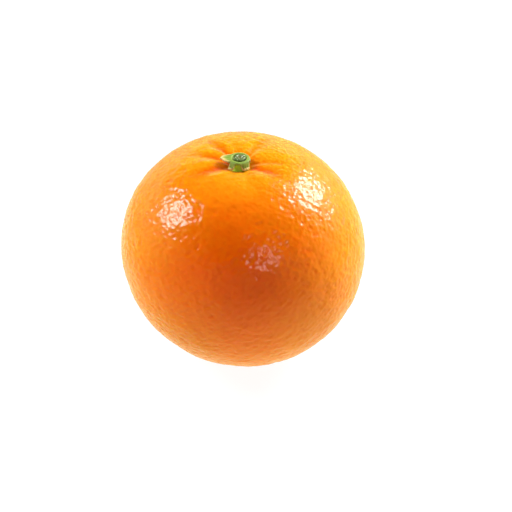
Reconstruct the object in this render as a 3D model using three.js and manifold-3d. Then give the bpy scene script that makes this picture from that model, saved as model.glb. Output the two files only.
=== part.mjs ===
// A picked sweet orange, standing on its blossom end, with its green calyx and the snapped stalk.
// Millimetres, +Z up, origin on the surface it rests on, under the middle of the fruit.
// The calyx is at the top, and its one spread sepal points along -X.
import * as THREE from "three";
import { ConvexHull } from "three/addons/math/ConvexHull.js";
import { mergeVertices } from "three/addons/utils/BufferGeometryUtils.js";
import Module from "manifold-3d";

// Fruit: an oblate body, a little fuller above the middle and skewed to one side.
const HALF_WIDTH = 37.5;
const HALF_HEIGHT = 35.2;
const TAPER = 0.018; // share by which the girth grows towards the stem
const SQUARENESS = 2.05; // 2 is an ellipse, and more is a squarer shoulder
const SKEW = -0.0275; // sideways drift of the stem end per millimetre of height
const FLATTENED = 0.6; // depth lost where the fruit presses on the surface
const CENTRE_HEIGHT = HALF_HEIGHT - FLATTENED;

// Stem end: a wide bowl, a narrow throat in it, and furrows that run out between the segments.
const BOWL_DEPTH = 2.3;
const BOWL_RADIUS = 13;
const THROAT_DEPTH = 2.9;
const THROAT_RADIUS = 4.6;
const FURROW_DEPTH = 0.85;
const FURROW_DEEPEST_AT = 8; // distance from the stalk
const FURROW_HALF_ANGLE = 12;
const FURROW_AZIMUTHS = [3, 58, 98, 126, 160, 198, 212, 250, 284, 328, 342];
const FURROW_STRENGTHS = [0.8, 0.8, 0.7, 1, 1, 0.8, 0.7, 0.4, 0.5, 0.8, 0.6];

// Blossom end: the small hollow scar that the flower left.
const SCAR_RADIUS = 2.6;
const SCAR_DEPTH = 0.7;

// Oil glands: one shallow pit each, drawn more than twice their real spacing.
const PIT_COUNT = 1700;
const PIT_DEPTH = 0.2; // at the girth, and less where the pits crowd
const PIT_JITTER = 0.2; // share of the spacing
const SEED = 7;

// The pits close up round the stalk and round the scar: share of the spacing lost, within radians.
const STEM_CROWDING = { share: 0.64, within: 0.36 };
const SCAR_CROWDING = { share: 0.5, within: 0.22 };

// Calyx: a short button with a recess in its top and five sepals round its rim.
const RIM_HEIGHT = 3.7; // above the bottom of the throat
const RIM_RADIUS = 2.5;
const RECESS_RADIUS = 2.15;
const RECESS_DEPTH = 0.9;
const WAIST_RADIUS = 2.6;
const SEAT_RADIUS = 1.8;
const SEAT_DEPTH = 1.4; // how far the button's foot goes into the rind
const SEPAL_THICKNESS = 0.68;
const EDGE_THINNING = 0.1; // share of the thickness lost at a sepal's edge
const SEPAL_BEND = 0.55; // length over which a sepal turns down
const SEPAL_NOTCH = 0.35; // reach of the rim between two sepals
const TIP_ROUNDNESS = 0.03; // 0 is a sharp point
const SEPALS = [
  { azimuth: 172, reach: 2.8, fold: 2, halfAngle: 44 },
  { azimuth: 232, reach: 4.3, fold: 70, halfAngle: 15 },
  { azimuth: 306, reach: 4.3, fold: 73, halfAngle: 30 },
  { azimuth: 22, reach: 2.2, fold: 82, halfAngle: 34 },
  { azimuth: 98, reach: 2.3, fold: 66, halfAngle: 38 },
];
const CALYX_COLUMNS = 54;
const SEPAL_STEPS = 5;

// Stalk: the snapped end that stands in the calyx, a little off its middle.
const STALK_RADIUS = 1.7;
const STALK_OFFSET = 0.1; // to the right, and as much to the back
const STALK_PROUD = 0.3; // how far its end stands over the rim
const PITH_RADIUS = 0.45;
const PITH_DEPTH = 0.3;
const STALK_COLUMNS = 18;

const CLEARANCE = 0.3; // between two pieces that touch
const LIFT_ON_SLOPE = 1.2; // a height over the sloping rind for each millimetre square to it

const GOLDEN_ANGLE = Math.PI * (3 - Math.sqrt(5));
const radians = THREE.MathUtils.degToRad;
const degrees = THREE.MathUtils.radToDeg;

const wasm = await Module();
wasm.setup();

// A smooth bell: 1 at the middle, 1/e at x = 1.
function bell(x) {
  return Math.exp(-x * x);
}

// A smooth bump that is 1 at x = 0 and exactly 0 from x = 1 on.
function bump(x) {
  return x < 1 ? (1 - x * x) ** 2 : 0;
}

// The signed difference of two azimuths, in degrees, from -180 to 180.
function turn(from, to) {
  return THREE.MathUtils.euclideanModulo(to - from + 180, 360) - 180;
}

// How strongly the furrows cut in at an azimuth: the sum of one bell for each furrow.
function furrowShare(azimuth) {
  return FURROW_AZIMUTHS.reduce((sum, centre, i) => {
    return sum + FURROW_STRENGTHS[i] * bell(turn(centre, azimuth) / FURROW_HALF_ANGLE);
  }, 0);
}

// How far the rind lies below the plain body, at a distance from the stalk and an azimuth.
// Along a furrow the depth is x^2 e^(1 - x^2) of the full one, with x = 1 where it is deepest.
function stemHollow(distance, azimuth) {
  const bowl = BOWL_DEPTH * bell(distance / BOWL_RADIUS);
  const throat = THROAT_DEPTH * bell(distance / THROAT_RADIUS);
  const along = distance / FURROW_DEEPEST_AT;
  const furrow = FURROW_DEPTH * along * along * Math.exp(1 - along * along);
  return bowl + throat + furrow * furrowShare(azimuth);
}

// The body before it is hollowed: maps a unit direction to its radius from the axis and its height.
// The direction's cosine and sine are scaled to a superellipse, so the shoulders are a little square.
function bodyProfile(sine, cosine) {
  const scale = (sine ** SQUARENESS + Math.abs(cosine) ** SQUARENESS) ** (-1 / SQUARENESS);
  return {
    radius: HALF_WIDTH * sine * (1 + TAPER * cosine) * scale,
    height: HALF_HEIGHT * cosine * scale,
  };
}

// The rind's surface in a unit direction from the fruit's middle, sunk by depth below its plain form.
function rindPoint(direction, depth) {
  const sine = Math.hypot(direction.x, direction.y);
  const { radius, height } = bodyProfile(sine, direction.z);
  const heading = Math.atan2(direction.y, direction.x);
  const x = (radius - depth * sine) * Math.cos(heading);
  const y = (radius - depth * sine) * Math.sin(heading);
  let z = CENTRE_HEIGHT + height - depth * direction.z;
  if (direction.z > 0) {
    z -= stemHollow(radius, degrees(heading));
  } else {
    z = Math.max(z, 0) + SCAR_DEPTH * bump(radius / SCAR_RADIUS);
  }
  return new THREE.Vector3(x + SKEW * height, y, z);
}

// The point on the stem axis at the bottom of the throat, where the calyx sits.
const seat = rindPoint(new THREE.Vector3(0, 0, 1), 0);

// The rind's height over the seat, at a distance from the stalk and an azimuth. Near the stalk the
// radius is nearly the sine times the half width, and a few corrections make it exact.
function rindOverSeat(distance, azimuth) {
  let sine = distance / HALF_WIDTH;
  for (let i = 0; i < 4; i++) {
    sine *= distance / bodyProfile(sine, Math.sqrt(1 - sine * sine)).radius;
  }
  const height = bodyProfile(sine, Math.sqrt(1 - sine * sine)).height;
  return CENTRE_HEIGHT + height - stemHollow(distance, azimuth) - seat.z;
}

// A repeatable random number from 0 to 1 for each call.
function seededRandom(seed) {
  let state = seed;
  return () => {
    state = (state + 0x6d2b79f5) | 0;
    let mixed = Math.imul(state ^ (state >>> 15), 1 | state);
    mixed = (mixed + Math.imul(mixed ^ (mixed >>> 7), 61 | mixed)) ^ mixed;
    return ((mixed ^ (mixed >>> 14)) >>> 0) / 4294967296;
  };
}

// How close the pits stand at an angle from the stalk, as a share of their spacing at the girth.
function pitSpacing(angle) {
  const nearStem = STEM_CROWDING.share * bell(angle / STEM_CROWDING.within);
  const nearScar = SCAR_CROWDING.share * bell((Math.PI - angle) / SCAR_CROWDING.within);
  return 1 - nearStem - nearScar;
}

// Pit centres as unit directions, one golden angle after another from the stalk down.
// Each takes an equal share of the sphere's area weighed by how closely the pits stand there.
function pitDirections() {
  const steps = 4000;
  const shares = [0];
  for (let i = 0; i < steps; i++) {
    const angle = ((i + 0.5) / steps) * Math.PI;
    shares.push(shares[i] + Math.sin(angle) / pitSpacing(angle) ** 2);
  }
  const total = shares[steps];
  const girthSpacing = Math.PI * Math.sqrt((2 * total) / steps / PIT_COUNT);
  const random = seededRandom(SEED);
  const directions = [];
  let step = 0;
  for (let i = 0; i < PIT_COUNT; i++) {
    while (shares[step + 1] < ((i + 0.5) / PIT_COUNT) * total) step++;
    const angle = ((step + 0.5) / steps) * Math.PI;
    const stray = PIT_JITTER * girthSpacing * pitSpacing(angle);
    const heading = i * GOLDEN_ANGLE;
    const x = Math.sin(angle) * Math.cos(heading);
    const y = Math.sin(angle) * Math.sin(heading);
    const nudge = new THREE.Vector3(random() - 0.5, random() - 0.5, random() - 0.5);
    const direction = new THREE.Vector3(x, y, Math.cos(angle));
    directions.push(direction.addScaledVector(nudge, 2 * stray).normalize());
  }
  return directions;
}

// The triangles between neighbouring directions, as index triples: the convex hull of points on a
// sphere joins each to its neighbours.
function neighbourTriangles(directions) {
  const order = new Map(directions.map((direction, i) => [direction, i]));
  return new ConvexHull().setFromPoints(directions).faces.map((face) => {
    return [0, 1, 2].map((i) => order.get(face.getEdge(i).head().point));
  });
}

// The pitted rind as one closed mesh. Each pit is a vertex, each triangle of pits has a vertex on
// the crest between them, and every edge between two pits is crossed by one crest.
function rindGeometry() {
  const pits = pitDirections();
  const triangles = neighbourTriangles(pits);
  const points = pits.map((direction) => {
    const pressedFlat = bump((1 + direction.z) * 60);
    const closeness = pitSpacing(Math.acos(direction.z));
    return rindPoint(direction, PIT_DEPTH * closeness * (1 - pressedFlat));
  });
  const across = new Map();
  triangles.forEach((corners, t) => {
    const crest = new THREE.Vector3();
    corners.forEach((corner, i) => {
      crest.add(pits[corner]);
      across.set(corner * PIT_COUNT + corners[(i + 1) % 3], PIT_COUNT + t);
    });
    points.push(rindPoint(crest.normalize(), 0));
  });
  const faces = [];
  triangles.forEach((corners, t) => {
    corners.forEach((corner, i) => {
      const next = corners[(i + 1) % 3];
      faces.push(corner, across.get(next * PIT_COUNT + corner), PIT_COUNT + t);
    });
  });
  return new THREE.BufferGeometry().setFromPoints(points).setIndex(faces);
}

// A closed skin over rings of points, listed from the top middle to the bottom middle. The first
// and the last ring are single points, and the others have the same number, anticlockwise from above.
function skinGeometry(rings) {
  const columns = rings[1].length;
  const points = rings.flat();
  const last = points.length - 1;
  const faces = [];
  for (let c = 0; c < columns; c++) {
    const next = (c + 1) % columns;
    faces.push(0, 1 + c, 1 + next);
    for (let r = 0; r < rings.length - 3; r++) {
      const upper = 1 + r * columns;
      const lower = upper + columns;
      faces.push(upper + c, lower + c, lower + next);
      faces.push(upper + c, lower + next, upper + next);
    }
    const bottom = 1 + (rings.length - 3) * columns;
    faces.push(last, bottom + next, bottom + c);
  }
  return new THREE.BufferGeometry().setFromPoints(points).setIndex(faces);
}

// Turns a closed geometry into a solid that can be cut.
function solidFrom(geometry) {
  const bare = new THREE.BufferGeometry();
  bare.setAttribute("position", geometry.getAttribute("position"));
  bare.setIndex(geometry.index);
  const merged = mergeVertices(bare, 1e-4);
  const vertProperties = merged.getAttribute("position").array;
  const triVerts = new Uint32Array(merged.index.array);
  return new wasm.Manifold(new wasm.Mesh({ numProp: 3, vertProperties, triVerts }));
}

// Turns a solid back into a geometry.
function geometryFrom(solid) {
  const mesh = solid.getMesh();
  return new THREE.BufferGeometry()
    .setAttribute("position", new THREE.BufferAttribute(mesh.vertProperties, 3))
    .setIndex(new THREE.BufferAttribute(mesh.triVerts, 1));
}

// The fruit, with the plain hole that the foot of the calyx stands in.
function fruitGeometry() {
  const radius = SEAT_RADIUS + CLEARANCE;
  const depth = SEAT_DEPTH + CLEARANCE;
  const height = depth + THROAT_DEPTH;
  const hole = new THREE.CylinderGeometry(radius, radius, height, STALK_COLUMNS);
  hole.rotateX(Math.PI / 2).translate(seat.x, 0, seat.z - depth + height / 2);
  return geometryFrom(solidFrom(rindGeometry()).subtract(solidFrom(hole)));
}

// A sepal's outline: its reach as a share of the longest, from 1 on its middle to 0 at its sides.
// It is a straight-sided point with the very tip rounded.
function sepalOutline(aside) {
  const blunt = Math.sqrt(aside * aside + TIP_ROUNDNESS) - Math.sqrt(TIP_ROUNDNESS);
  const widest = Math.sqrt(1 + TIP_ROUNDNESS) - Math.sqrt(TIP_ROUNDNESS);
  return Math.max(0, 1 - blunt / widest);
}

// How far the calyx reaches past its rim at an azimuth, and how steeply it turns down there.
// The fold is a mean of all the sepals' folds, weighed by how near each is.
function sepalAt(azimuth) {
  let reach = SEPAL_NOTCH;
  let fold = 0;
  let weight = 0;
  for (const sepal of SEPALS) {
    const aside = Math.abs(turn(sepal.azimuth, azimuth)) / sepal.halfAngle;
    reach += (sepal.reach - SEPAL_NOTCH) * sepalOutline(aside);
    fold += sepal.fold * bell(aside);
    weight += bell(aside);
  }
  return { reach, fold: radians(fold / weight) };
}

// The middle line of the calyx's brim at an azimuth, as [distance, height] pairs from the rim out.
// It bends down by the sepal's fold, and where it would sink into the rind it lies on it.
function brimLine(azimuth) {
  const { reach, fold } = sepalAt(azimuth);
  const step = reach / SEPAL_STEPS;
  const lift = (CLEARANCE + SEPAL_THICKNESS / 2) * LIFT_ON_SLOPE;
  let distance = RIM_RADIUS;
  let height = RIM_HEIGHT - SEPAL_THICKNESS / 2;
  const line = [[distance, height]];
  for (let i = 0; i < SEPAL_STEPS; i++) {
    const slope = fold * Math.min(1, ((i + 0.5) * step) / SEPAL_BEND);
    distance += step * Math.cos(slope);
    height -= step * Math.sin(slope);
    height = Math.max(height, rindOverSeat(distance, azimuth) + lift);
    line.push([distance, height]);
  }
  return line;
}

// One profile of the calyx at an azimuth, as [distance from its axis, height over the seat] pairs:
// recess, rim, top of the brim, its edge, its underside, then the button's waist, seat and foot.
function calyxProfile(azimuth) {
  const recess = [
    [RECESS_RADIUS, RIM_HEIGHT - RECESS_DEPTH],
    [RECESS_RADIUS + 0.06, RIM_HEIGHT - 0.15],
    [RECESS_RADIUS + 0.2, RIM_HEIGHT],
  ];
  const line = brimLine(azimuth);
  const above = [];
  const below = [];
  line.forEach(([distance, height], i) => {
    const [fromDistance, fromHeight] = line[Math.max(i - 1, 0)];
    const [toDistance, toHeight] = line[Math.min(i + 1, SEPAL_STEPS)];
    const length = Math.hypot(toDistance - fromDistance, toHeight - fromHeight);
    const half = (SEPAL_THICKNESS / 2) * (1 - EDGE_THINNING * (i / SEPAL_STEPS) ** 3);
    const outward = (half * (fromHeight - toHeight)) / length;
    const upward = (half * (toDistance - fromDistance)) / length;
    above.push([distance + outward, height + upward]);
    below.unshift([distance - outward, height - upward]);
  });
  const lift = CLEARANCE * LIFT_ON_SLOPE;
  const button = [
    [WAIST_RADIUS, RIM_HEIGHT * 0.66],
    [WAIST_RADIUS, rindOverSeat(WAIST_RADIUS, azimuth) + lift],
    [SEAT_RADIUS, rindOverSeat(SEAT_RADIUS + CLEARANCE, azimuth) + lift],
    [SEAT_RADIUS, -SEAT_DEPTH],
  ];
  return [...recess, ...above, ...below, ...button];
}

// The calyx: the profiles round its axis, closed by the middle of the recess and of the foot.
function calyxGeometry() {
  const columns = Array.from({ length: CALYX_COLUMNS }, (_, c) => (c * 360) / CALYX_COLUMNS);
  const profiles = columns.map(calyxProfile);
  const at = (distance, height, azimuth) => {
    const x = seat.x + distance * Math.cos(radians(azimuth));
    const y = distance * Math.sin(radians(azimuth));
    return new THREE.Vector3(x, y, seat.z + height);
  };
  const rings = profiles[0].map((_, r) => profiles.map((profile, c) => at(...profile[r], columns[c])));
  return skinGeometry([[at(0, RIM_HEIGHT - RECESS_DEPTH, 0)], ...rings, [at(0, -SEAT_DEPTH, 0)]]);
}

// The stalk's end: a low, slightly waisted post with a hollow pith, standing in the recess.
function stalkGeometry() {
  const bottom = RIM_HEIGHT - RECESS_DEPTH + CLEARANCE;
  const end = RIM_HEIGHT + STALK_PROUD;
  const profile = [
    [PITH_RADIUS, end - PITH_DEPTH],
    [PITH_RADIUS + 0.1, end - 0.05],
    [STALK_RADIUS * 0.7, end],
    [STALK_RADIUS * 0.92, end - 0.08],
    [STALK_RADIUS, end - 0.28],
    [STALK_RADIUS * 0.95, bottom + 0.1],
    [STALK_RADIUS * 0.85, bottom],
  ];
  const at = (distance, height, heading) => {
    const x = seat.x + STALK_OFFSET + distance * Math.cos(heading);
    const y = STALK_OFFSET + distance * Math.sin(heading);
    return new THREE.Vector3(x, y, seat.z + height);
  };
  const headings = Array.from({ length: STALK_COLUMNS }, (_, c) => (c * 2 * Math.PI) / STALK_COLUMNS);
  const rings = profile.map(([distance, height]) => {
    return headings.map((heading) => at(distance, height, heading));
  });
  return skinGeometry([[at(0, end - PITH_DEPTH, 0)], ...rings, [at(0, bottom, 0)]]);
}

// A named mesh with its own material.
function piece(name, geometry, color, roughness) {
  const material = new THREE.MeshStandardMaterial({ color, roughness, metalness: 0 });
  const mesh = new THREE.Mesh(geometry, material);
  mesh.name = name;
  return mesh;
}

const orange = new THREE.Group();
orange.name = "orange";
orange.add(piece("fruit", fruitGeometry(), "#f07a10", 0.4));
orange.add(piece("calyx", calyxGeometry(), "#8fa048", 0.7));
orange.add(piece("stalk_end", stalkGeometry(), "#9aa07a", 0.85));

export default orange;
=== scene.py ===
# %% [markdown]
# # A picked sweet orange
#
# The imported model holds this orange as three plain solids: the pitted fruit, the green calyx on its
# stem end and the snapped end of its stalk. In this lesson each of them is made again as a much
# finer surface, with the same form in the same place, and gets a material for what it is made of.
# A surface could be sculpted by hand, but then nobody could read how it was made. Here each one is a
# formula in two parameters, worked out by numpy as whole arrays, so that the code is the drawing.

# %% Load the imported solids
import math
import bpy
import numpy as np
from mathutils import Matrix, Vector


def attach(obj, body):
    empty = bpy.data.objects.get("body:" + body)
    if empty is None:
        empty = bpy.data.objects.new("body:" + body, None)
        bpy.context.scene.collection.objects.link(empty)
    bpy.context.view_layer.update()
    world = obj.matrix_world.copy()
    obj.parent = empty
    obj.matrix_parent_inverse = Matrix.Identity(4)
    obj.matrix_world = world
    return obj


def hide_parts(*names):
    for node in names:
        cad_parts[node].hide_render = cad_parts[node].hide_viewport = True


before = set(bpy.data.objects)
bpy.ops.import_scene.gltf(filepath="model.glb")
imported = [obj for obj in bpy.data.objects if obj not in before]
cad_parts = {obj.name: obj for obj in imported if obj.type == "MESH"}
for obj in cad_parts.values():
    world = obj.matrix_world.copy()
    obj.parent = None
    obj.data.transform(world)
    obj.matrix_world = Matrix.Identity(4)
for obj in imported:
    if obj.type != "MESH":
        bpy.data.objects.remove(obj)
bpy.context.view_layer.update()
MM = 0.001  # the formulas count in millimetres, and Blender in metres
print("packed nodes:", sorted(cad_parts))

# %% [markdown]
# ## The camera
#
# A fruit is best shown from a little above, where its stem end and its girth can both be seen, and
# from far off with a long lens, so that its near side isn't blown up. The camera comes first,
# because every later step is judged through it. It looks down by 38 degrees along +Y. The aim is a
# little right of the fruit's middle and below it, which sets the fruit left of the middle and high.

# %% Camera
CENTRE_HEIGHT = 34.6  # height of the fruit's middle
VIEW_ELEVATION = math.radians(38)
VIEW_DISTANCE = 438.75
AIM_RIGHT = 3.91
AIM_DOWN = 2.23  # along the picture's vertical
LENS = 100.4
SENSOR_WIDTH = 36

picture_up = np.array([0, math.sin(VIEW_ELEVATION), math.cos(VIEW_ELEVATION)])
towards_viewer = np.array([0, -math.cos(VIEW_ELEVATION), math.sin(VIEW_ELEVATION)])
aim = np.array([AIM_RIGHT, 0, CENTRE_HEIGHT]) - AIM_DOWN * picture_up
camera_data = bpy.data.cameras.new("camera")
camera_data.lens = LENS
camera_data.sensor_width = SENSOR_WIDTH
camera_data.clip_start = 0.01  # metres
camera = bpy.data.objects.new("camera", camera_data)
camera.location = (aim + VIEW_DISTANCE * towards_viewer) * MM
camera.rotation_euler = (math.pi / 2 - VIEW_ELEVATION, 0, 0)
bpy.context.scene.collection.objects.link(camera)
bpy.context.scene.camera = camera
print("camera stands at", [round(value, 3) for value in camera.location], "m")

# %% [markdown]
# ## Small tools
#
# Five helpers are enough for the whole orange. A smooth bell and a bump with an edge shape every
# hollow, and the turn between two azimuths tells how far a point is from a furrow or a sepal.
# Ripples are a cheap natural unevenness: many waves that cross each other in all directions never
# repeat, and their wavelengths say how coarse the result is. The last helper turns arrays of points
# and faces into a Blender object, and stores the shades that a material will read later.

# %% Bells, ripples and meshes
def bell(x):
    """e^(-x^2): 1 in the middle, 1/e at x = 1."""
    return np.exp(-x * x)


def bump(x):
    """(1 - x^2)^2 up to x = 1 and 0 from there on."""
    return np.where(np.abs(x) < 1, (1 - x * x) ** 2, 0)


def turn(start, end):
    """The signed angle from one azimuth to another, in degrees from -180 to 180."""
    return (end - start + 180) % 360 - 180


def ripples(points, shortest, longest, draws, waves=48):
    """The sum of plane waves sin(2 pi p.d / wavelength + phase) in random directions d.

    The wavelengths lie between shortest and longest, in millimetres. The result runs from 0 to 1.
    """
    directions = draws.normal(size=(waves, 3))
    directions /= np.linalg.norm(directions, axis=1)[:, None]
    turns = directions * (2 * np.pi / draws.uniform(shortest, longest, waves))[:, None]
    height = np.sin(points @ turns.T + draws.uniform(0, 2 * np.pi, waves)).sum(-1)
    return (height - height.min()) / (height.max() - height.min())


def make_piece(name, points, faces, shades, node):
    """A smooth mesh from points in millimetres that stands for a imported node.

    Each shade is one number for each point, stored as an attribute of that name.
    """
    mesh = bpy.data.meshes.new(name)
    mesh.from_pydata((points * MM).tolist(), [], faces)
    mesh.shade_smooth()
    for shade, values in shades.items():
        attribute = mesh.attributes.new(shade, "FLOAT", "POINT")
        attribute.data.foreach_set("value", values.astype(np.float32))
    piece = bpy.data.objects.new(name, mesh)
    bpy.context.scene.collection.objects.link(piece)
    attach(piece, "root")
    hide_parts(node)
    triangles = sum(len(face) - 2 for face in faces)
    print(f"{name}: {len(points)} points, {triangles} triangles")
    return piece


steps = np.array([0, 0.5, 1])
print("at 0, 0.5 and 1 a bell is", bell(steps).round(2), "and a bump", bump(steps).round(2))

# %% [markdown]
# ## The fruit's form
#
# An orange grows as a ball pressed a little from stem to blossom end. It could be a scaled sphere,
# but a real one is a bit square in its shoulders, fuller above the middle and never quite upright,
# so the sphere's profile gets an exponent, a taper and a skew. The stem end sinks into a wide bowl
# with a narrow throat, and furrows run out of it between the segments. These are the same formulas
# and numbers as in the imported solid, which is why the fine surface lies in the solid's place.

# %% Form of the body
HALF_WIDTH = 37.5
HALF_HEIGHT = 35.2
TAPER = 0.018  # share by which the girth grows towards the stem
SQUARENESS = 2.05  # 2 is an ellipse, and more is a squarer shoulder
SKEW = -0.0275  # sideways drift of the stem end per millimetre of height


def body_profile(sine, cosine):
    """Radius from the axis and height over the middle for a direction's sine and cosine.

    The direction is stretched until sine^n + |cosine|^n = 1, then scaled to the half width and the
    half height, and the radius grows with the height by the taper.
    """
    stretch = (sine**SQUARENESS + np.abs(cosine) ** SQUARENESS) ** (-1 / SQUARENESS)
    radius = HALF_WIDTH * sine * (1 + TAPER * cosine) * stretch
    return radius, HALF_HEIGHT * cosine * stretch


print(f"the girth is {2 * body_profile(1, 0)[0]:.1f} mm across")

# %% Hollow of the stem end
BOWL_DEPTH = 2.3
BOWL_RADIUS = 13
THROAT_DEPTH = 2.9
THROAT_RADIUS = 4.6
FURROW_DEPTH = 0.85
FURROW_DEEPEST_AT = 8  # distance from the stalk
FURROW_HALF_ANGLE = 12  # degrees
RIB_SHARE = 0.45  # what the furrows' bells still add up to on the rib between two
FURROW_AZIMUTHS = [3, 58, 98, 126, 160, 198, 212, 250, 284, 328, 342]
FURROW_STRENGTHS = [0.8, 0.8, 0.7, 1, 1, 0.8, 0.7, 0.4, 0.5, 0.8, 0.6]


def furrow_share(azimuth):
    """How strongly the furrows cut in at an azimuth: the sum of one bell for each furrow."""
    pairs = zip(FURROW_AZIMUTHS, FURROW_STRENGTHS)
    return sum(strength * bell(turn(at, azimuth) / FURROW_HALF_ANGLE) for at, strength in pairs)


def furrow_depth(distance, azimuth):
    """Along a furrow its depth is x^2 e^(1 - x^2) of the full one, with x = 1 where it is deepest."""
    along = (distance / FURROW_DEEPEST_AT) ** 2
    return FURROW_DEPTH * along * np.exp(1 - along) * furrow_share(azimuth)


def stem_hollow(distance, azimuth):
    """How far the rind lies below the plain body: a wide bell, a narrow one and the furrows."""
    bowl = BOWL_DEPTH * bell(distance / BOWL_RADIUS)
    throat = THROAT_DEPTH * bell(distance / THROAT_RADIUS)
    return bowl + throat + furrow_depth(distance, azimuth)


def valley_share(distance, azimuth):
    """Depth as a share of a full furrow's, times how far the bells' sum rises over a rib's.

    It is 1 on a full furrow's floor and 0 from the shoulders on, and steers the valleys' painted
    shade.
    """
    depth = furrow_depth(distance, azimuth) / FURROW_DEPTH
    across = (furrow_share(azimuth) - RIB_SHARE) / (1 - RIB_SHARE)
    return np.clip(depth * across, 0, 1)


seat_height = CENTRE_HEIGHT + HALF_HEIGHT - stem_hollow(0, 0)
seat_offset = SKEW * HALF_HEIGHT
print(f"the calyx sits {seat_height:.2f} mm up and {seat_offset:.2f} mm aside")

# %% Blossom end and the whole surface
SCAR_RADIUS = 2.6
SCAR_DEPTH = 0.7


def rind_points(direction, depth):
    """Points of the rind in unit directions from the middle, sunk by a depth below the plain form.

    The upper half goes down by the stem's hollow. The lower half is cut off level at the height
    that the fruit stands on, and the scar that the flower left rises into it as a small bump.
    """
    sine = np.hypot(direction[:, 0], direction[:, 1])
    radius, height = body_profile(sine, direction[:, 2])
    heading = np.arctan2(direction[:, 1], direction[:, 0])
    plain = CENTRE_HEIGHT + height - depth * direction[:, 2]
    upper = plain - stem_hollow(radius, np.degrees(heading))
    lower = np.maximum(plain, 0) + SCAR_DEPTH * bump(radius / SCAR_RADIUS)
    x = (radius - depth * sine) * np.cos(heading) + SKEW * height
    y = (radius - depth * sine) * np.sin(heading)
    return np.column_stack([x, y, np.where(direction[:, 2] > 0, upper, lower)])


print(f"the scar is {2 * SCAR_RADIUS} mm wide and {SCAR_DEPTH} mm deep")

# %% [markdown]
# ## A grid without poles
#
# A globe's grid of meridians would crowd its points at the stem, and pits would look different
# there. A cube blown up to a sphere has cells of nearly one size all over, so the same relief can
# be drawn everywhere. Each of the six faces is a square grid whose lines stand at equal angles, and
# the points that two faces share are welded into one.

# %% Directions on a blown-up cube
CELLS = 128  # along the edge of each of the six faces, so a cell is about 0.46 mm wide
WELD_DECIMALS = 6


def cube_faces():
    """The six faces as one array of unit directions, face by row by column.

    A face holds (1, tan a, tan b) for equal steps of a and b from -45 to 45 degrees, turned to its
    side of the cube and scaled to length 1.
    """
    lines = np.tan(np.linspace(-np.pi / 4, np.pi / 4, CELLS + 1))
    u, v = np.meshgrid(lines, lines, indexing="ij")
    one = np.ones_like(u)
    faces = [(one, u, v), (-one, -u, v), (-u, one, v), (u, -one, v), (-v, u, one), (v, u, -one)]
    grids = np.array([np.stack(face, axis=-1) for face in faces])
    return grids / np.linalg.norm(grids, axis=-1)[..., None]


def cube_quads():
    """Four point numbers for each cell, anticlockwise as seen from outside."""
    number = np.arange(6 * (CELLS + 1) ** 2).reshape(6, CELLS + 1, CELLS + 1)
    corners = [number[:, :-1, :-1], number[:, 1:, :-1], number[:, 1:, 1:], number[:, :-1, 1:]]
    return np.stack(corners, axis=-1).reshape(-1, 4)


grids = cube_faces()
rounded = grids.reshape(-1, 3).round(WELD_DECIMALS)
_, first, welded = np.unique(rounded, axis=0, return_index=True, return_inverse=True)
directions = grids.reshape(-1, 3)[first]
rind_quads = welded.ravel()[cube_quads()]
print(f"{len(directions)} directions, {len(rind_quads)} cells")

# %% [markdown]
# ## Oil glands and the unevenness of the skin
#
# The skin of a citrus fruit is full of oil glands, and each one shows as a shallow pit with a soft
# edge. They lie about 1.7 mm apart, closer at both ends, and no two are alike. A Voronoi texture
# could draw them in the material, but then the outline and the mesh would stay smooth, so they are
# real relief here. Their places come from the golden angle, which spreads points evenly on a
# sphere, with a random nudge. Between them the skin swells in lumps a few millimetres wide.

# %% Places and sizes of the pits
PIT_COUNT = 7000
PIT_NUDGE = 0.3  # share of their spacing
PIT_RADII = (0.45, 0.8)
PIT_DEPTHS = (0.08, 0.23)
STEM_CROWDING = (0.5, 0.36)  # share of the spacing lost at the stalk, and within how many radians
SCAR_CROWDING = (0.5, 0.22)
MEAN_RADIUS = 36.5
GOLDEN_ANGLE = math.pi * (3 - math.sqrt(5))
ANGLE_STEPS = 4000  # from the stalk to the scar, where the sphere's area is weighed
SEED = 11


def pit_spacing(angle):
    """Spacing at an angle from the stalk, as a share of the usual one: 1 less a bell at each end."""
    near_stem = STEM_CROWDING[0] * bell(angle / STEM_CROWDING[1])
    near_scar = SCAR_CROWDING[0] * bell((np.pi - angle) / SCAR_CROWDING[1])
    return 1 - near_stem - near_scar


def pit_directions(draws):
    """One pit per golden angle, from the stalk down, each with an equal share of the sphere.

    The sphere's area is weighed by how closely the pits stand there: sin(angle) / spacing^2.
    """
    ladder = (np.arange(ANGLE_STEPS) + 0.5) / ANGLE_STEPS * np.pi
    share = np.cumsum(np.sin(ladder) / pit_spacing(ladder) ** 2)
    order = (np.arange(PIT_COUNT) + 0.5) / PIT_COUNT
    angle = np.interp(order * share[-1], share, ladder)
    heading = np.arange(PIT_COUNT) * GOLDEN_ANGLE
    along = np.sin(angle)
    places = np.column_stack([along * np.cos(heading), along * np.sin(heading), np.cos(angle)])
    girth_spacing = math.pi * math.sqrt(2 * share[-1] / ANGLE_STEPS / PIT_COUNT)
    nudge = draws.uniform(-1, 1, (PIT_COUNT, 3)) * girth_spacing * PIT_NUDGE
    places += nudge * pit_spacing(angle)[:, None]
    return places / np.linalg.norm(places, axis=1)[:, None], pit_spacing(angle)


draws = np.random.default_rng(SEED)
pits, closeness = pit_directions(draws)
pit_radii = draws.uniform(*PIT_RADII, PIT_COUNT) * closeness
pit_depths = draws.uniform(*PIT_DEPTHS, PIT_COUNT) * closeness
skin_per_pit = 4 * math.pi * MEAN_RADIUS**2 / PIT_COUNT
print(f"{PIT_COUNT} pits, one for each {skin_per_pit:.1f} square millimetres of skin")

# %% Depth of the pits at every point
BLOCKS = 8  # along the edge of a cube face
BLOCK_REACH = 0.18  # radians from a block's middle to the furthest pit that can touch it


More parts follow.
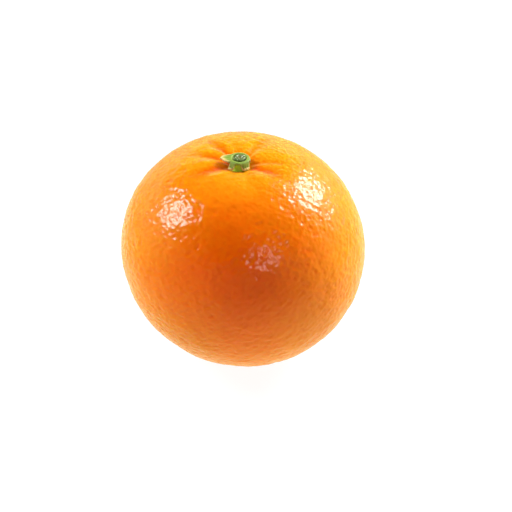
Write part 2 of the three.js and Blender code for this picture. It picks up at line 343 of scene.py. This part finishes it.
def pit_relief():
    """At each point the sum over the pits of depth e^(-(distance / radius)^2).

    A pit reaches only a millimetre, so each face is worked out in blocks with the pits near them.
    """
    relief = np.zeros(grids.shape[:3])
    strips = np.array_split(np.arange(CELLS + 1), BLOCKS)
    for face in range(len(grids)):
        for rows in strips:
            for columns in strips:
                block = grids[face][rows[:, None], columns]
                middle = block.mean(axis=(0, 1))
                middle /= np.linalg.norm(middle)
                near = pits @ middle > math.cos(BLOCK_REACH)
                chord = np.sqrt(np.maximum(2 - 2 * block @ pits[near].T, 0)) * MEAN_RADIUS
                shaped = pit_depths[near] * bell(chord / pit_radii[near])
                relief[face][rows[:, None], columns] = shaped.sum(-1)
    return relief.ravel()[first]


pit_depth = pit_relief()
print(f"pits are {pit_depth.mean():.3f} mm deep in the mean, {pit_depth.max():.3f} at most")

# %% Lumps, swells and the finished rind
SKIN_WAVES = {  # height, and how far apart the waves are at the least and at the most
    "lumps": (0.17, 2.4, 4.6),
    "swells": (0.28, 6, 12),
    "bulges": (0.4, 18, 34),
}

on_sphere = directions * MEAN_RADIUS
relief = pit_depth.copy()
for name, (height, shortest, longest) in SKIN_WAVES.items():
    relief += height * ripples(on_sphere, shortest, longest, draws)
    print(f"{name} are {height} mm high and {shortest} to {longest} mm apart")
relief -= relief.min()
rind_surface = rind_points(directions, relief)

# %% Shades of the rind
# Painted shade: the side that faces the camera gets a redder, darker patch, with a warmer zone round
# it.
FRONT_SHADE_DIRECTION = np.array([-0.03, -0.894, 0.448])
BACK_DIRECTION = np.array([0.25, 0.92, -0.3])  # a second patch, on the side away from the camera
FRONT_SHADE_REACH = math.radians(38)  # the redder middle of a patch
WARM_REACH = math.radians(43)  # the warmer zone round it
PATCH_WAVER = math.radians(16)
PATCH_WAVES = (12, 30)

distance = np.hypot(rind_surface[:, 0] - seat_offset, rind_surface[:, 1])
azimuth = np.degrees(np.arctan2(rind_surface[:, 1], rind_surface[:, 0] - seat_offset))
upper_half = directions[:, 2] > 0
waver = PATCH_WAVER * (ripples(on_sphere, *PATCH_WAVES, draws) - 0.5)
from_front_shade, from_back = [
    np.arccos(np.clip(directions @ middle, -1, 1)) + waver
    for middle in (FRONT_SHADE_DIRECTION, BACK_DIRECTION)
]
rind_shades = {
    "pit": np.clip(pit_depth / PIT_DEPTHS[1], 0, 1),
    # painted shade: darker orange on the floors of the furrows
    "furrow": np.where(upper_half, valley_share(distance, azimuth), 0),
    # painted shade: dark red in the throat round the calyx
    "throat": np.where(upper_half, bell(distance / THROAT_RADIUS), 0),
    "scar": np.where(upper_half, 0, bell(distance / SCAR_RADIUS)),
    # painted shade of the front: redder and darker
    "front_shade": bell(from_front_shade / FRONT_SHADE_REACH),
    # partly painted shade: warmer round the front patch, and warmer in a second patch at the back
    "warm": np.maximum(bell(from_front_shade / WARM_REACH), bell(from_back / WARM_REACH)),
}
rind = make_piece("rind", rind_surface, rind_quads.tolist(), rind_shades, "fruit")

# %% [markdown]
# ## The calyx
#
# The green button on top is the flower's calyx, which stays on the fruit when it is picked. It is a
# short cup with five pointed sepals on its rim. One spreads level and four are folded down over the
# cup's wall. It could be a cup and five leaves, but it grew as one piece, so it is one surface: a
# profile that runs from the recess over the rim, out to a sepal's edge, back below it and down the
# wall. The profile changes with the azimuth, because reach and fold are functions of it.

# %% Sepals
RIM_HEIGHT = 3.7  # above the bottom of the throat
RIM_RADIUS = 2.5
RECESS_RADIUS = 2.15
RECESS_DEPTH = 0.9
WAIST_RADIUS = 2.6
SEPAL_THICKNESS = 0.66
EDGE_THINNING = 0.1  # share of the thickness lost at a sepal's edge
SEPAL_BEND = 0.55  # length over which a sepal turns down
SEPAL_NOTCH = 0.35  # reach of the rim between two sepals
TIP_ROUNDNESS = 0.03  # 0 is a sharp point
# One entry for each sepal. Azimuth, fold and half angle are in degrees.
SEPAL_AZIMUTH = np.array([172, 232, 306, 22, 98])[:, None]
SEPAL_REACH = np.array([2.8, 4.3, 4.3, 2.2, 2.3])[:, None]
SEPAL_FOLD = np.array([2, 70, 73, 82, 66])[:, None]
SEPAL_HALF_ANGLE = np.array([44, 15, 30, 34, 38])[:, None]
RAGGED_SHARE = 0.05  # by which the reach goes up and down along a torn margin
RAGGED_WAVES = (23, 37)  # round the calyx
CALYX_COLUMNS = 288
SEPAL_STEPS = 22
SINE_CORRECTIONS = 4


def sepal_outline(aside):
    """Reach as a share of the longest: 1 - |aside|, with the very tip rounded by a square root."""
    root = math.sqrt(TIP_ROUNDNESS)
    blunt = (np.sqrt(aside**2 + TIP_ROUNDNESS) - root) / (math.sqrt(1 + TIP_ROUNDNESS) - root)
    return np.maximum(0, 1 - blunt)


def rind_over_seat(distance, azimuth):
    """Height of the rind over the calyx's seat.

    The sine that belongs to a distance is corrected a few times by distance over body radius.
    """
    sine = distance / HALF_WIDTH
    for _ in range(SINE_CORRECTIONS):
        sine = sine * distance / body_profile(sine, np.sqrt(1 - sine**2))[0]
    height = body_profile(sine, np.sqrt(1 - sine**2))[1]
    return CENTRE_HEIGHT + height - stem_hollow(distance, azimuth) - seat_height


calyx_azimuth = np.arange(CALYX_COLUMNS) * 360 / CALYX_COLUMNS
aside = np.abs(turn(SEPAL_AZIMUTH, calyx_azimuth)) / SEPAL_HALF_ANGLE
nearest = aside.min(0)  # 0 on the middle line of a sepal and 1 at its side
waves = sum(np.sin(np.radians(calyx_azimuth * count)) for count in RAGGED_WAVES)
ragged = 1 + RAGGED_SHARE * waves
sepal_share = sepal_outline(aside)
sepal_reach = SEPAL_NOTCH + ((SEPAL_REACH * ragged - SEPAL_NOTCH) * sepal_share).sum(0)
sepal_fold = np.radians((SEPAL_FOLD * bell(aside)).sum(0) / bell(aside).sum(0))
print(f"sepals reach {sepal_reach.min():.2f} to {sepal_reach.max():.2f} mm past the rim")

# %% Profile of the calyx
CONTACT_GAP = 0.08  # a sepal that comes down to the rind lies on it by this
RIB_HEIGHT = 0.03
RIBS_PER_HALF = 2.5  # waves from a sepal's middle line to its side


def brim_line():
    """Middle line of the brim: distance and height at each step out from the rim, by column.

    It bends down by the sepal's fold over the first stretch, and never goes below the rind.
    """
    step = sepal_reach / SEPAL_STEPS
    distances = [np.full(CALYX_COLUMNS, RIM_RADIUS)]
    heights = [np.full(CALYX_COLUMNS, RIM_HEIGHT - SEPAL_THICKNESS / 2)]
    for i in range(SEPAL_STEPS):
        slope = sepal_fold * np.minimum(1, (i + 0.5) * step / SEPAL_BEND)
        distances.append(distances[-1] + step * np.cos(slope))
        lowest = rind_over_seat(distances[-1], calyx_azimuth) + CONTACT_GAP + SEPAL_THICKNESS / 2
        heights.append(np.maximum(heights[-1] - step * np.sin(slope), lowest))
    return np.array(distances), np.array(heights)


def level_rings(rows):
    """Rings at one distance and height all round, from a list of such pairs."""
    return [np.tile([[distance], [height]], CALYX_COLUMNS) for distance, height in rows]


line_distance, line_height = brim_line()
run_distance = np.gradient(line_distance, axis=0)
run_height = np.gradient(line_height, axis=0)
run_length = np.hypot(run_distance, run_height)
outward = -run_height / run_length
upward = run_distance / run_length
out_share = np.linspace(0, 1, SEPAL_STEPS + 1)[:, None]
half = SEPAL_THICKNESS / 2 * (1 - EDGE_THINNING * out_share**3)
ribs = RIB_HEIGHT * bump(out_share * 2 - 1) * np.cos(nearest * RIBS_PER_HALF * 2 * np.pi)
above = np.array([line_distance + (half + ribs) * outward, line_height + (half + ribs) * upward])
below = np.array([line_distance - half * outward, line_height - half * upward])
print(f"the brim is {2 * half[0, 0]:.2f} mm thick at the rim, {2 * half[-1, 0]:.2f} at its edge")

# %% Rings of the calyx
RECESS_RINGS = (0.7, 1.4, 2.0)  # their radii on the floor
RECESS_STEPS = (0.08, 0.3, 0.55, 0.8)  # share of the recess's depth
RIM_ROUNDING = [(0.05, 0.07), (0.13, 0.01)]  # out from the recess, and down from the rim's top
EDGE_TURNS = np.radians([60, 30, 0, -30, -60])  # round a sepal's edge, from its top downwards
WALL_HEIGHTS = np.array([0.62, 0.5, 0.38, 0.27, 0.18, 0.11])  # share of the rim's height
WALL_END = 0.1  # over the seat
WALL_FLARE = 0.25
FOOT_DEPTH = 0.35  # how far the foot has grown into the rind
FOOT_RADIUS = 1.2  # of the last ring, under the foot

recess_floor = RIM_HEIGHT - RECESS_DEPTH
recess = level_rings(
    [(radius, recess_floor) for radius in RECESS_RINGS]
    + [(RECESS_RADIUS, recess_floor + RECESS_DEPTH * share) for share in RECESS_STEPS]
    + [(RECESS_RADIUS + out, RIM_HEIGHT - down) for out, down in RIM_ROUNDING]
)
edge = [
    np.array([
        line_distance[-1] + half[-1] * (np.cos(angle) * upward[-1] + np.sin(angle) * outward[-1]),
        line_height[-1] + half[-1] * (np.sin(angle) * upward[-1] - np.cos(angle) * outward[-1]),
    ])
    for angle in EDGE_TURNS
]
wall_radii = WAIST_RADIUS + WALL_FLARE * (1 - WALL_HEIGHTS / WALL_HEIGHTS[0]) ** 3
wall = level_rings([
    *zip(wall_radii, RIM_HEIGHT * WALL_HEIGHTS),
    (WAIST_RADIUS + WALL_FLARE, WALL_END),
    (WAIST_RADIUS, -FOOT_DEPTH),
    (FOOT_RADIUS, -FOOT_DEPTH),
])
brim_top = list(above.transpose(1, 0, 2))
brim_underside = list(below.transpose(1, 0, 2))[:0:-1]
profile = np.array(recess + brim_top + edge + brim_underside + wall)
ring_count = len(profile)
heading = np.radians(calyx_azimuth)
calyx_rings = np.stack(
    [
        seat_offset + profile[:, 0] * np.cos(heading),
        profile[:, 0] * np.sin(heading),
        seat_height + profile[:, 1],
    ],
    axis=-1,
)
print(f"the calyx has {ring_count} rings of {CALYX_COLUMNS} points")

# %% The calyx as one surface
CALYX_UNEVENNESS = 0.07
CALYX_WAVES = (0.5, 1.4)


def closed_rings(rings, top, bottom):
    """Points and faces of a skin over rings from top to bottom, with one point to close each end."""
    count, columns = rings.shape[:2]
    number = 1 + np.arange(count * columns).reshape(count, columns)
    after = np.roll(number, -1, axis=1)
    quads = np.stack([number[:-1], number[1:], after[1:], after[:-1]], axis=-1).reshape(-1, 4)
    last = count * columns + 1
    cap = np.column_stack([np.zeros(columns, int), number[0], after[0]])
    foot = np.column_stack([np.full(columns, last), after[-1], number[-1]])
    points = np.vstack([[top], rings.reshape(-1, 3), [bottom]])
    return points, cap.tolist() + quads.tolist() + foot.tolist()


recess_middle = (seat_offset, 0, seat_height + recess_floor)
foot_middle = (seat_offset, 0, seat_height - FOOT_DEPTH)
calyx_points, calyx_faces = closed_rings(calyx_rings, recess_middle, foot_middle)
unevenness = ripples(calyx_points, *CALYX_WAVES, draws) - 0.5
heading_out = calyx_points - [seat_offset, 0, seat_height + RIM_HEIGHT / 2]
heading_out /= np.linalg.norm(heading_out, axis=1)[:, None]
calyx_points = calyx_points + CALYX_UNEVENNESS * unevenness[:, None] * heading_out
print(f"its top is {calyx_points[:, 2].max():.2f} mm over the floor")

# %% Shades of the calyx
MARGIN_WIDTH = 0.48
TIP_DRYNESS = 0.7

to_edge = (1 - out_share) * sepal_reach
margin_row = bell(to_edge / MARGIN_WIDTH) * np.clip(sepal_reach - SEPAL_NOTCH, 0, 1)
tip_row = TIP_DRYNESS * bump(nearest) * out_share**3
top_from = len(recess)
edge_from = top_from + len(brim_top)
underside_from = edge_from + len(edge)
wall_from = underside_from + len(brim_underside)


def shade_on_brim(on_top, on_edge, below):
    """One number per point: rows for the brim's top, edge and underside, and 0 elsewhere."""
    shade = np.zeros((ring_count, CALYX_COLUMNS))
    shade[top_from:edge_from] = on_top
    shade[edge_from:underside_from] = on_edge
    shade[underside_from:wall_from] = below
    return np.concatenate([[0], shade.ravel(), [0]])


# The recess gets an olive lighter than the sepals, painted light against its shade.
in_recess = np.zeros((ring_count, CALYX_COLUMNS))
in_recess[:top_from] = 1
# The wall gets a much brighter green, painted light against the shade under the sepals.
on_wall = np.zeros((ring_count, CALYX_COLUMNS))
on_wall[underside_from + SEPAL_STEPS // 2 :] = 1
calyx_shades = {
    "margin": shade_on_brim(margin_row, margin_row[-1], margin_row[:0:-1]),
    "tip": shade_on_brim(tip_row, tip_row[-1], tip_row[:0:-1]),
    "recess": np.concatenate([[1], in_recess.ravel(), [0]]),
    "wall": np.concatenate([[0], on_wall.ravel(), [1]]),
}
calyx = make_piece("calyx_button", calyx_points, calyx_faces, calyx_shades, "calyx")

# %% [markdown]
# ## The end of the stalk
#
# The stalk was snapped off level with the calyx. What is left is a low post of wood, a little wider
# to one side, with a torn end: pale ends of fibres, and a soft brown pith in the middle that has
# dried and sunk. A flat disc would look sawn, so the end is a small relief whose bumps stand for
# bundles of fibres.

# %% Rings of the stalk end
STALK_RADIUS = 1.7
STALK_OFFSET = 0.1  # to the right, and as much to the back
STALK_PROUD = 0.3  # how far its end stands over the rim
STALK_SUNK = 0.1  # how far its foot stands in the recess's floor
STALK_TAPER = 0.06  # share by which its foot is narrower
STALK_OVAL = 0.07  # share by which it is wider towards one side
OVAL_AZIMUTH = math.radians(35)
PITH_RADIUS = 0.45
PITH_DEPTH = 0.3
EDGE_WEAR = 0.2
END_SHARES = np.append(np.linspace(0.08, 0.9, 11), [0.95, 0.985])  # of the radius, for its rings
SIDE_START = 0.36  # how far below the end its side begins
SIDE_RINGS = 9
STALK_COLUMNS = 120

end_height = RIM_HEIGHT + STALK_PROUD
foot_height = RIM_HEIGHT - RECESS_DEPTH - STALK_SUNK
end_radii = STALK_RADIUS * END_SHARES
end_heights = end_height - PITH_DEPTH * bell(end_radii / PITH_RADIUS)
end_heights -= EDGE_WEAR * END_SHARES**8
side_heights = np.linspace(end_height - SIDE_START, foot_height, SIDE_RINGS)
side_radii = STALK_RADIUS * (1 - STALK_TAPER * np.linspace(0, 1, SIDE_RINGS))
stalk_radii = np.concatenate([end_radii, side_radii])[:, None]
stalk_heights = np.concatenate([end_heights, side_heights])[:, None]
heading = np.arange(STALK_COLUMNS) * 2 * np.pi / STALK_COLUMNS
stalk_radii = stalk_radii * (1 + STALK_OVAL * np.cos(heading - OVAL_AZIMUTH))
stalk_rings = np.stack(
    np.broadcast_arrays(
        seat_offset + STALK_OFFSET + stalk_radii * np.cos(heading),
        STALK_OFFSET + stalk_radii * np.sin(heading),
        seat_height + stalk_heights,
    ),
    axis=-1,
)
print(f"the stalk is {2 * stalk_radii.max():.1f} mm thick at most")

# %% Torn end of the stalk
TORN_DEPTH = 0.22
FIBRE_WAVES = (0.35, 0.8)

stalk_top = (seat_offset + STALK_OFFSET, STALK_OFFSET, seat_height + end_height - PITH_DEPTH)
stalk_foot = (seat_offset + STALK_OFFSET, STALK_OFFSET, seat_height + foot_height)
stalk_points, stalk_faces = closed_rings(stalk_rings, stalk_top, stalk_foot)
fibres = ripples(stalk_points, *FIBRE_WAVES, draws)
on_end = np.zeros(len(stalk_points))
on_end[: 1 + len(end_radii) * STALK_COLUMNS] = 1
stalk_points[:, 2] -= TORN_DEPTH * fibres * on_end
stalk_distance = np.linalg.norm(stalk_points[:, :2] - stalk_top[:2], axis=1)
stalk_shades = {"pith": bell(stalk_distance / PITH_RADIUS) * on_end}
stalk = make_piece("stalk_stub", stalk_points, stalk_faces, stalk_shades, "stalk_end")

# %% [markdown]
# ## Making materials
#
# A material is a few textures that steer one shader. One function adds a node, sets its values and
# links its inputs, which keeps each material below as short as its recipe. Colours are written as
# the hex numbers that a colour picker shows, and one function turns them to the linear values that
# light is reckoned in. A grown thing is coloured in layers, so one function lays them on.

# %% Colours and nodes
def linear(code):
    """A hex colour as linear RGBA: c/12.92 up to 0.04045, then ((c + 0.055) / 1.055)^2.4."""
    values = np.array([int(code[i : i + 2], 16) for i in (1, 3, 5)]) / 255
    light = np.where(values <= 0.04045, values / 12.92, ((values + 0.055) / 1.055) ** 2.4)
    return (*light.tolist(), 1)


def add_node(tree, kind, settings=None, **inputs):
    """Adds a node, sets its properties, and gives each input a value or a link to an output.

    An input's name has _ for a space. Where several share a name, in0, in1 and so on pick by place.
    """
    node = tree.nodes.new(kind)
    for name, value in (settings or {}).items():
        setattr(node, name, value)
    for name, value in inputs.items():
        place = int(name[2:]) if name[:2] == "in" and name[2:].isdigit() else name.replace("_", " ")
        if isinstance(value, bpy.types.NodeSocket):
            tree.links.new(value, node.inputs[place])
        else:
            node.inputs[place].default_value = value
    return node


def new_material(name):
    """An empty material and its node tree."""
    material = bpy.data.materials.new(name)
    material.use_nodes = True
    material.node_tree.nodes.clear()
    return material, material.node_tree


MIX_COLOURS = {"data_type": "RGBA"}
MIXED = 2  # the output with the colour, where input 0 is the share and 6 and 7 are the colours


def lay_colours(tree, ground, layers):
    """A colour built up on a ground from layers of shade, most and hex colour.

    Each layer covers what lies below it by its shade times the most of it that goes on.
    """
    colour = linear(ground)
    for shade, most, code in layers:
        share = add_node(
            tree, "ShaderNodeMath", {"operation": "MULTIPLY"}, in0=shade, in1=most
        ).outputs["Value"]
        colour = add_node(
            tree, "ShaderNodeMix", MIX_COLOURS, in0=share, in6=colour, in7=linear(code)
        ).outputs[MIXED]
    return colour


print("a mid grey, #808080, is", round(linear("#808080")[0], 3), "of white in linear light")

# %% [markdown]
# ## Rind
#
# The flavedo, the coloured outer skin, is alive with orange pigment under a thin natural wax. The
# wax is what shines: a smooth clear film that follows every pit, so the highlights break up into
# small bright islands. Light also goes a few millimetres into the flesh and comes out elsewhere,
# which softens the shade of the pits but not their glints, so most of the colour is subsurface
# light. The colour is golden as a whole, blotched at random, and a little deeper in each gland's
# drop of oil. On top of that lies painted shade: a redder, darker patch on the side that faces the
# camera, with a warmer zone round it, and darker orange in the furrows and in the throat round the
# calyx. A second warmer patch lies on the side away from the camera. Each of these is a layer over
# the one before. The smallest pores are finer than the mesh, so they are bump in the material. The
# real ones lie about 0.6 mm apart, and they are drawn 1.2 mm apart, because in the picture closer
# ones would be lost between the pixels.

# %% Colour of the rind
BLOTCH_SIZE = 14

rind_material, tree = new_material("waxy_citrus_rind")
place = add_node(tree, "ShaderNodeTexCoord").outputs["Object"]
shade = {
    name: add_node(tree, "ShaderNodeAttribute", {"attribute_name": name}).outputs["Fac"]
    for name in rind_shades
}
blotches = add_node(
    tree, "ShaderNodeTexNoise", Vector=place, Scale=1 / (BLOTCH_SIZE * MM), Detail=3.0
).outputs["Fac"]
rind_layers = [
    # partly painted shade: the warmer edge round the front patch, and the back patch
    (shade["warm"], 0.9, "#E47406"),
    (blotches, 0.2, "#EA9C12"),
    # painted shade: the redder, darker front that faces the camera
    (shade["front_shade"], 1.0, "#E66003"),
    (shade["pit"], 0.25, "#DA5802"),
    # painted shade in the furrows
    (shade["furrow"], 1.0, "#DE5C00"),
    # painted shade in the throat round the calyx
    (shade["throat"], 0.8, "#D04A08"),
    (shade["scar"], 0.9, "#6B4A1E"),
]
rind_colour = lay_colours(tree, "#E6940E", rind_layers)
print("layers on the rind:", len(rind_layers))

# %% Pores and wax of the rind
PORE_SPACING = 1.2
PORE_DEPTH = 0.11
GRAIN_SIZE = 0.5
GRAIN_DEPTH = 0.03
LIGHT_REACH = 2.5  # how far light goes in the skin
NOISE_RANGE = (0.3, 0.7)  # where nearly all of a noise's values lie
WAX_ROUGHNESS = (0.1, 0.16)

pores = add_node(
    tree,
    "ShaderNodeTexVoronoi",
    {"feature": "SMOOTH_F1"},
    Vector=place,
    Scale=1 / (PORE_SPACING * MM),
    Smoothness=0.4,
    Randomness=1.0,
).outputs["Distance"]
pore_bump = add_node(
    tree, "ShaderNodeBump", Strength=1.0, Distance=PORE_DEPTH * MM, Height=pores
).outputs["Normal"]
grain = add_node(
    tree, "ShaderNodeTexNoise", Vector=place, Scale=1 / (GRAIN_SIZE * MM), Detail=2.0
).outputs["Fac"]
skin_bump = add_node(
    tree,
    "ShaderNodeBump",
    Strength=1.0,
    Distance=GRAIN_DEPTH * MM,
    Height=grain,
    Normal=pore_bump,
).outputs["Normal"]
roughness = add_node(
    tree,
    "ShaderNodeMapRange",
    Value=blotches,
    From_Min=NOISE_RANGE[0],
    From_Max=NOISE_RANGE[1],
    To_Min=WAX_ROUGHNESS[0],
    To_Max=WAX_ROUGHNESS[1],
).outputs["Result"]
shader = add_node(
    tree,
    "ShaderNodeBsdfPrincipled",
    Base_Color=rind_colour,
    Roughness=roughness,
    IOR=1.45,
    Specular_IOR_Level=0.28,
    Subsurface_Weight=0.85,
    Subsurface_Radius=(1.0, 0.35, 0.1),
    Subsurface_Scale=LIGHT_REACH * MM,
    Normal=skin_bump,
)
add_node(tree, "ShaderNodeOutputMaterial", Surface=shader.outputs["BSDF"])
rind.data.materials.append(rind_material)
print("made", rind_material.name)

# %% [markdown]
# ## Calyx
#
# Green plant tissue that has begun to dry: matt to satin, yellow green on the sepals, and cream to
# straw along the margins and at the tips, where it dries first. The wall of the cup is green, painted
# much brighter as light against the shade under the sepals, and the recess is olive, painted lighter
# than the sepals as light against its shade. Fine ribs of fibres run outwards.

# %% Material of the calyx
PATCH_SIZE = 1.1
SPECKLE_SIZE = 0.25
SPECKLE_HEIGHT = 0.04

calyx_material, tree = new_material("half_dry_calyx")
place = add_node(tree, "ShaderNodeTexCoord").outputs["Object"]
shade = {
    name: add_node(tree, "ShaderNodeAttribute", {"attribute_name": name}).outputs["Fac"]
    for name in calyx_shades
}
patches = add_node(
    tree, "ShaderNodeTexNoise", Vector=place, Scale=1 / (PATCH_SIZE * MM), Detail=4.0
).outputs["Fac"]
calyx_layers = [
    (patches, 1.0, "#889C36"),
    # painted light: a much brighter green on the wall, against the shade under the sepals
    (shade["wall"], 1.0, "#B0E83E"),
    (shade["margin"], 1.0, "#CCBB76"),
    (shade["tip"], 1.0, "#CFB468"),
    # olive in the recess, painted lighter than the sepals as light against its shade
    (shade["recess"], 1.0, "#879C3E"),
]
calyx_colour = lay_colours(tree, "#587A20", calyx_layers)
speckle = add_node(
    tree, "ShaderNodeTexNoise", Vector=place, Scale=1 / (SPECKLE_SIZE * MM), Detail=2.0
).outputs["Fac"]
calyx_bump = add_node(
    tree, "ShaderNodeBump", Strength=1.0, Distance=SPECKLE_HEIGHT * MM, Height=speckle
).outputs["Normal"]
shader = add_node(
    tree,
    "ShaderNodeBsdfPrincipled",
    Base_Color=calyx_colour,
    Roughness=0.55,
    IOR=1.45,
    Specular_IOR_Level=0.4,
    Normal=calyx_bump,
)
add_node(tree, "ShaderNodeOutputMaterial", Surface=shader.outputs["BSDF"])
calyx.data.materials.append(calyx_material)
print("made", calyx_material.name)

# %% [markdown]
# ## Stalk wood
#
# Freshly torn green wood: grey green, with the ends of the fibres nearly white where they broke,
# and the pith in the middle brown.

# %% Material of the stalk end
BUNDLE_SIZE = 0.6
BUNDLE_HEIGHT = 0.05
BREAK_RANGE = (0.54, 0.68)  # the noise values over which the wood passes into broken ends

stalk_material, tree = new_material("torn_green_wood")
place = add_node(tree, "ShaderNodeTexCoord").outputs["Object"]
pith = add_node(tree, "ShaderNodeAttribute", {"attribute_name": "pith"}).outputs["Fac"]
bundles = add_node(
    tree, "ShaderNodeTexNoise", Vector=place, Scale=1 / (BUNDLE_SIZE * MM), Detail=2.0
).outputs["Fac"]
broken_ends = add_node(
    tree,
    "ShaderNodeMapRange",
    {"interpolation_type": "SMOOTHSTEP"},
    Value=bundles,
    From_Min=BREAK_RANGE[0],
    From_Max=BREAK_RANGE[1],
).outputs["Result"]
stalk_layers = [(broken_ends, 1.0, "#C6CAAA"), (pith, 1.0, "#6E5527")]
stalk_colour = lay_colours(tree, "#506226", stalk_layers)
stalk_bump = add_node(
    tree, "ShaderNodeBump", Strength=1.0, Distance=BUNDLE_HEIGHT * MM, Height=bundles
).outputs["Normal"]
shader = add_node(
    tree,
    "ShaderNodeBsdfPrincipled",
    Base_Color=stalk_colour,
    Roughness=0.7,
    Specular_IOR_Level=0.4,
    Normal=stalk_bump,
)
add_node(tree, "ShaderNodeOutputMaterial", Surface=shader.outputs["BSDF"])
stalk.data.materials.append(stalk_material)
print("made", stalk_material.name)

# %% [markdown]
# ## Floor and light
#
# The fruit stands on a white table that glows a little, as a sheet of opal plastic lit from below
# does. That is how a fruit is shown on pure white with hardly a shadow, and it also brightens the
# underside. The camera sees it evenly white, but for the fruit it fades outwards, or the wax would
# mirror a pale table all over, and it is warm from the colour that the fruit throws on it. Two soft
# boxes stand a little behind it, on the left and on the right. They leave the front in gentle shade,
# which shows how round the fruit is, and put one broad highlight on each shoulder. A dim scrim round
# the right one lights that side as a whole, and a small panel puts a faint third highlight on the
# front. Pale walls all round, brighter behind than in front, are mirrored along the rim.

# %% Floor
FLOOR_HALF = 30.0  # metres, so that its edge is never in view
FLOOR_GLOW = 0.92  # what the camera sees
LIT_RADIUS = 0.07  # metres
DIM_RADIUS = 0.26
NEAR_GLOW = 1.15  # what the fruit gets, up to the lit radius
FAR_GLOW = 0.45  # and from the dim radius on

floor_mesh = bpy.data.meshes.new("floor")
corners = [(-FLOOR_HALF, -FLOOR_HALF, 0), (FLOOR_HALF, -FLOOR_HALF, 0)]
corners += [(FLOOR_HALF, FLOOR_HALF, 0), (-FLOOR_HALF, FLOOR_HALF, 0)]
floor_mesh.from_pydata(corners, [], [(0, 1, 2, 3)])
floor = bpy.data.objects.new("floor", floor_mesh)
bpy.context.scene.collection.objects.link(floor)
floor_material, tree = new_material("opal_table")
place = add_node(tree, "ShaderNodeTexCoord").outputs["Object"]
away = add_node(tree, "ShaderNodeVectorMath", {"operation": "LENGTH"}, in0=place).outputs["Value"]
fading = add_node(
    tree,
    "ShaderNodeMapRange",
    {"interpolation_type": "SMOOTHSTEP"},
    Value=away,
    From_Min=LIT_RADIUS,
    From_Max=DIM_RADIUS,
    To_Min=NEAR_GLOW,
    To_Max=FAR_GLOW,
).outputs["Result"]
seen = add_node(tree, "ShaderNodeLightPath").outputs["Is Camera Ray"]
glow = add_node(
    tree, "ShaderNodeMix", {"data_type": "FLOAT"}, in0=seen, in2=fading, in3=FLOOR_GLOW
).outputs[0]
glow_colour = add_node(
    tree, "ShaderNodeMix", MIX_COLOURS, in0=seen, in6=linear("#FFE9B4"), in7=linear("#FFFFFF")
).outputs[MIXED]
surface = add_node(
    tree,
    "ShaderNodeBsdfPrincipled",
    Base_Color=linear("#696969"),
    Roughness=0.9,
    Specular_IOR_Level=0.0,
    Emission_Color=glow_colour,
    Emission_Strength=glow,
).outputs["BSDF"]
clear = add_node(tree, "ShaderNodeBsdfTransparent").outputs["BSDF"]
from_below = add_node(tree, "ShaderNodeNewGeometry").outputs["Backfacing"]
either = add_node(tree, "ShaderNodeMixShader", in0=from_below, in1=surface, in2=clear).outputs[0]
add_node(tree, "ShaderNodeOutputMaterial", Surface=either)
floor_mesh.materials.append(floor_material)
print("made", floor_material.name)

# %% Soft boxes
LIGHT_DISTANCE = 0.7  # metres
SOFT_BOXES = {  # where each one stands as seen from the fruit, its side in metres and its radiance
    "soft_box_left": ((-0.766, 0.119, 0.631), 0.28, 22.0),
    "soft_box_right": ((0.686, 0.457, 0.561), 0.32, 25.5),
    "scrim_right": ((0.686, 0.457, 0.561), 0.6, 1.6),
    "panel_front": ((0.362, -0.744, 0.562), 0.2, 7.0),
}


def add_soft_box(name, heading, side, radiance):
    """A square lamp that faces the fruit. Its power is radiance times area times pi."""
    lamp = bpy.data.lights.new(name, "AREA")
    lamp.shape = "SQUARE"
    lamp.size = side
    lamp.energy = radiance * side * side * math.pi
    box = bpy.data.objects.new(name, lamp)
    away = np.array(heading) / np.linalg.norm(heading)
    box.location = np.array([0, 0, CENTRE_HEIGHT * MM]) + away * LIGHT_DISTANCE
    box.rotation_mode = "QUATERNION"
    box.rotation_quaternion = Vector(away).to_track_quat("Z", "Y")
    box.visible_camera = False
    bpy.context.scene.collection.objects.link(box)


for name, (heading, side, radiance) in SOFT_BOXES.items():
    add_soft_box(name, heading, side, radiance)
    print(name, "at", heading)

# %% Walls all round
WALL_IN_FRONT = 0.62
WALL_BEHIND = 1.2
WALL_TURN = 0.3  # the sine of the angle to each side over which one passes into the other
WALL_TOP = 0.6  # the sine of the elevation at which the walls end
BACKDROP = 1.1  # what the camera sees past the floor
WHITE = linear("#FFFFFF")

world = bpy.data.worlds.new("studio")
world.use_nodes = True
tree = world.node_tree
tree.nodes.clear()
direction = add_node(tree, "ShaderNodeTexCoord").outputs["Generated"]
along = add_node(tree, "ShaderNodeSeparateXYZ", Vector=direction).outputs
upwards = add_node(
    tree,
    "ShaderNodeMapRange",
    Value=along["Z"],
    From_Min=0.0,
    From_Max=WALL_TOP,
    To_Min=1.0,
    To_Max=0.0,
).outputs["Result"]
backwards = add_node(
    tree,
    "ShaderNodeMapRange",
    Value=along["Y"],
    From_Min=-WALL_TURN,
    From_Max=WALL_TURN,
    To_Min=WALL_IN_FRONT,
    To_Max=WALL_BEHIND,
).outputs["Result"]
brightness = add_node(
    tree, "ShaderNodeMath", {"operation": "MULTIPLY"}, in0=upwards, in1=backwards
).outputs["Value"]
walls = add_node(tree, "ShaderNodeBackground", Color=WHITE, Strength=brightness).outputs[0]
backdrop = add_node(tree, "ShaderNodeBackground", Color=WHITE, Strength=BACKDROP).outputs[0]
seen = add_node(tree, "ShaderNodeLightPath").outputs["Is Camera Ray"]
either = add_node(tree, "ShaderNodeMixShader", in0=seen, in1=walls, in2=backdrop).outputs[0]
add_node(tree, "ShaderNodeOutputWorld", Surface=either)
bpy.context.scene.world = world
bpy.context.scene.view_settings.view_transform = "Standard"
print("walls give", WALL_IN_FRONT, "in front and", WALL_BEHIND, "behind")
